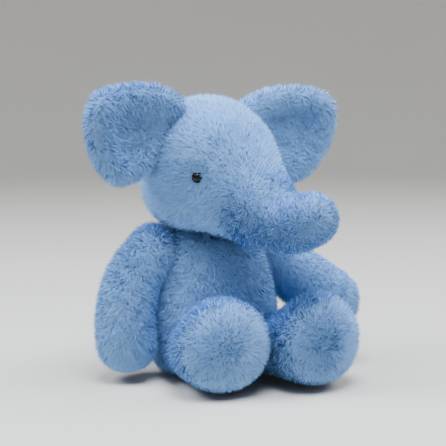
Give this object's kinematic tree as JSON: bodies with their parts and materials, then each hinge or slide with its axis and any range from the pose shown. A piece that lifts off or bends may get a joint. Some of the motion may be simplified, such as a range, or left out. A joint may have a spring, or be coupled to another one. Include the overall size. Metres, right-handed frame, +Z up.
{
  "type": "stuffed elephant",
  "caption": "Seated stuffed elephant in long soft pile, with a head that turns and nods, a curling trunk, cupped ears that flap, and floppy arms, legs and tail.",
  "frame": {"origin": "middle of the flat seat face under the body, on the surface it sits on", "axes": "+Z up, -Y the way the body faces, +X the elephant's own left"},
  "size_m": [0.2365, 0.2077, 0.2281],
  "materials": {
    "pile": "matte",
    "filling": "matte",
    "bag_cloth": "matte",
    "beans": "matte",
    "eye_bead": "gloss",
    "eye_washer": "matte",
    "label_cloth": "satin",
    "thread": "matte"
  },
  "bodies": {
    "torso": {"body_front_panel": "pile", "body_back_panel": "pile", "seat_panel": "pile", "body_filling": "filling", "seat_bean_bag": "bag_cloth", "seat_beans": "beans", "closing_stitches": "thread", "care_label": "label_cloth"},
    "neck": {"neck_filling": "filling"},
    "head": {"right_eye": "eye_bead", "right_eye_washer": "eye_washer", "left_eye": "eye_bead", "left_eye_washer": "eye_washer", "head_filling": "filling", "head_centre_panel": "pile", "head_left_panel": "pile", "head_right_panel": "pile"},
    "trunk": {"trunk_left_panel": "pile", "trunk_right_panel": "pile", "trunk_filling": "filling"},
    "right_ear": {"right_ear_front_panel": "pile", "right_ear_back_panel": "pile"},
    "left_ear": {"left_ear_front_panel": "pile", "left_ear_back_panel": "pile"},
    "right_arm": {"right_arm_outer_panel": "pile", "right_arm_inner_panel": "pile", "right_arm_filling": "filling"},
    "left_arm": {"left_arm_outer_panel": "pile", "left_arm_inner_panel": "pile", "left_arm_filling": "filling"},
    "right_leg": {"right_leg_upper_panel": "pile", "right_leg_lower_panel": "pile", "right_foot_sole": "pile", "right_leg_filling": "filling", "right_foot_bean_bag": "bag_cloth", "right_foot_beans": "beans"},
    "left_leg": {"left_leg_upper_panel": "pile", "left_leg_lower_panel": "pile", "left_foot_sole": "pile", "left_leg_filling": "filling", "left_foot_bean_bag": "bag_cloth", "left_foot_beans": "beans"},
    "tail": {"tail_cover": "pile", "tail_filling": "filling"}
  },
  "joints": [
    {"name": "head_turn", "type": "hinge", "parent": "torso", "child": "neck", "pos_m": [-0.002, -0.003, 0.112], "axis": [0, 0, 1], "range_deg": [-55, 35]},
    {"name": "head_nod", "type": "hinge", "parent": "neck", "child": "head", "pos_m": [-0.002, -0.003, 0.112], "axis": [-0.9563, -0.2924, 0], "range_deg": [-12, 15]},
    {"name": "trunk_curl", "type": "hinge", "parent": "head", "child": "trunk", "pos_m": [0.0158, -0.06876, 0.1325], "axis": [0.9563, 0.2924, 0], "range_deg": [-25, 20]},
    {"name": "right_ear_flap", "type": "hinge", "parent": "head", "child": "right_ear", "pos_m": [-0.05138, -0.01639, 0.18838], "axis": [0.3808, 0.1237, 0.9164], "range_deg": [-25, 30]},
    {"name": "left_ear_flap", "type": "hinge", "parent": "head", "child": "left_ear", "pos_m": [0.04221, 0.01222, 0.18838], "axis": [0.3994, 0.0279, -0.9164], "range_deg": [-25, 30]},
    {"name": "right_arm_swing", "type": "hinge", "parent": "torso", "child": "right_arm", "pos_m": [-0.048, 0, 0.099], "axis": [-0.9945, 0.1045, 0], "range_deg": [-40, 80]},
    {"name": "left_arm_swing", "type": "hinge", "parent": "torso", "child": "left_arm", "pos_m": [0.045, 0.002, 0.095], "axis": [-1, 0, 0], "range_deg": [-45, 50]},
    {"name": "right_leg_lift", "type": "hinge", "parent": "torso", "child": "right_leg", "pos_m": [-0.026, -0.014, 0.0228], "axis": [-0.9999, -0.0167, 0], "range_deg": [0, 20]},
    {"name": "left_leg_lift", "type": "hinge", "parent": "torso", "child": "left_leg", "pos_m": [0.027, -0.022, 0.0228], "axis": [-0.9471, -0.3208, 0], "range_deg": [0, 20]},
    {"name": "tail_lift", "type": "hinge", "parent": "torso", "child": "tail", "pos_m": [0, 0.051, 0.046], "axis": [1, 0, 0], "range_deg": [-5, 60]}
  ]
}
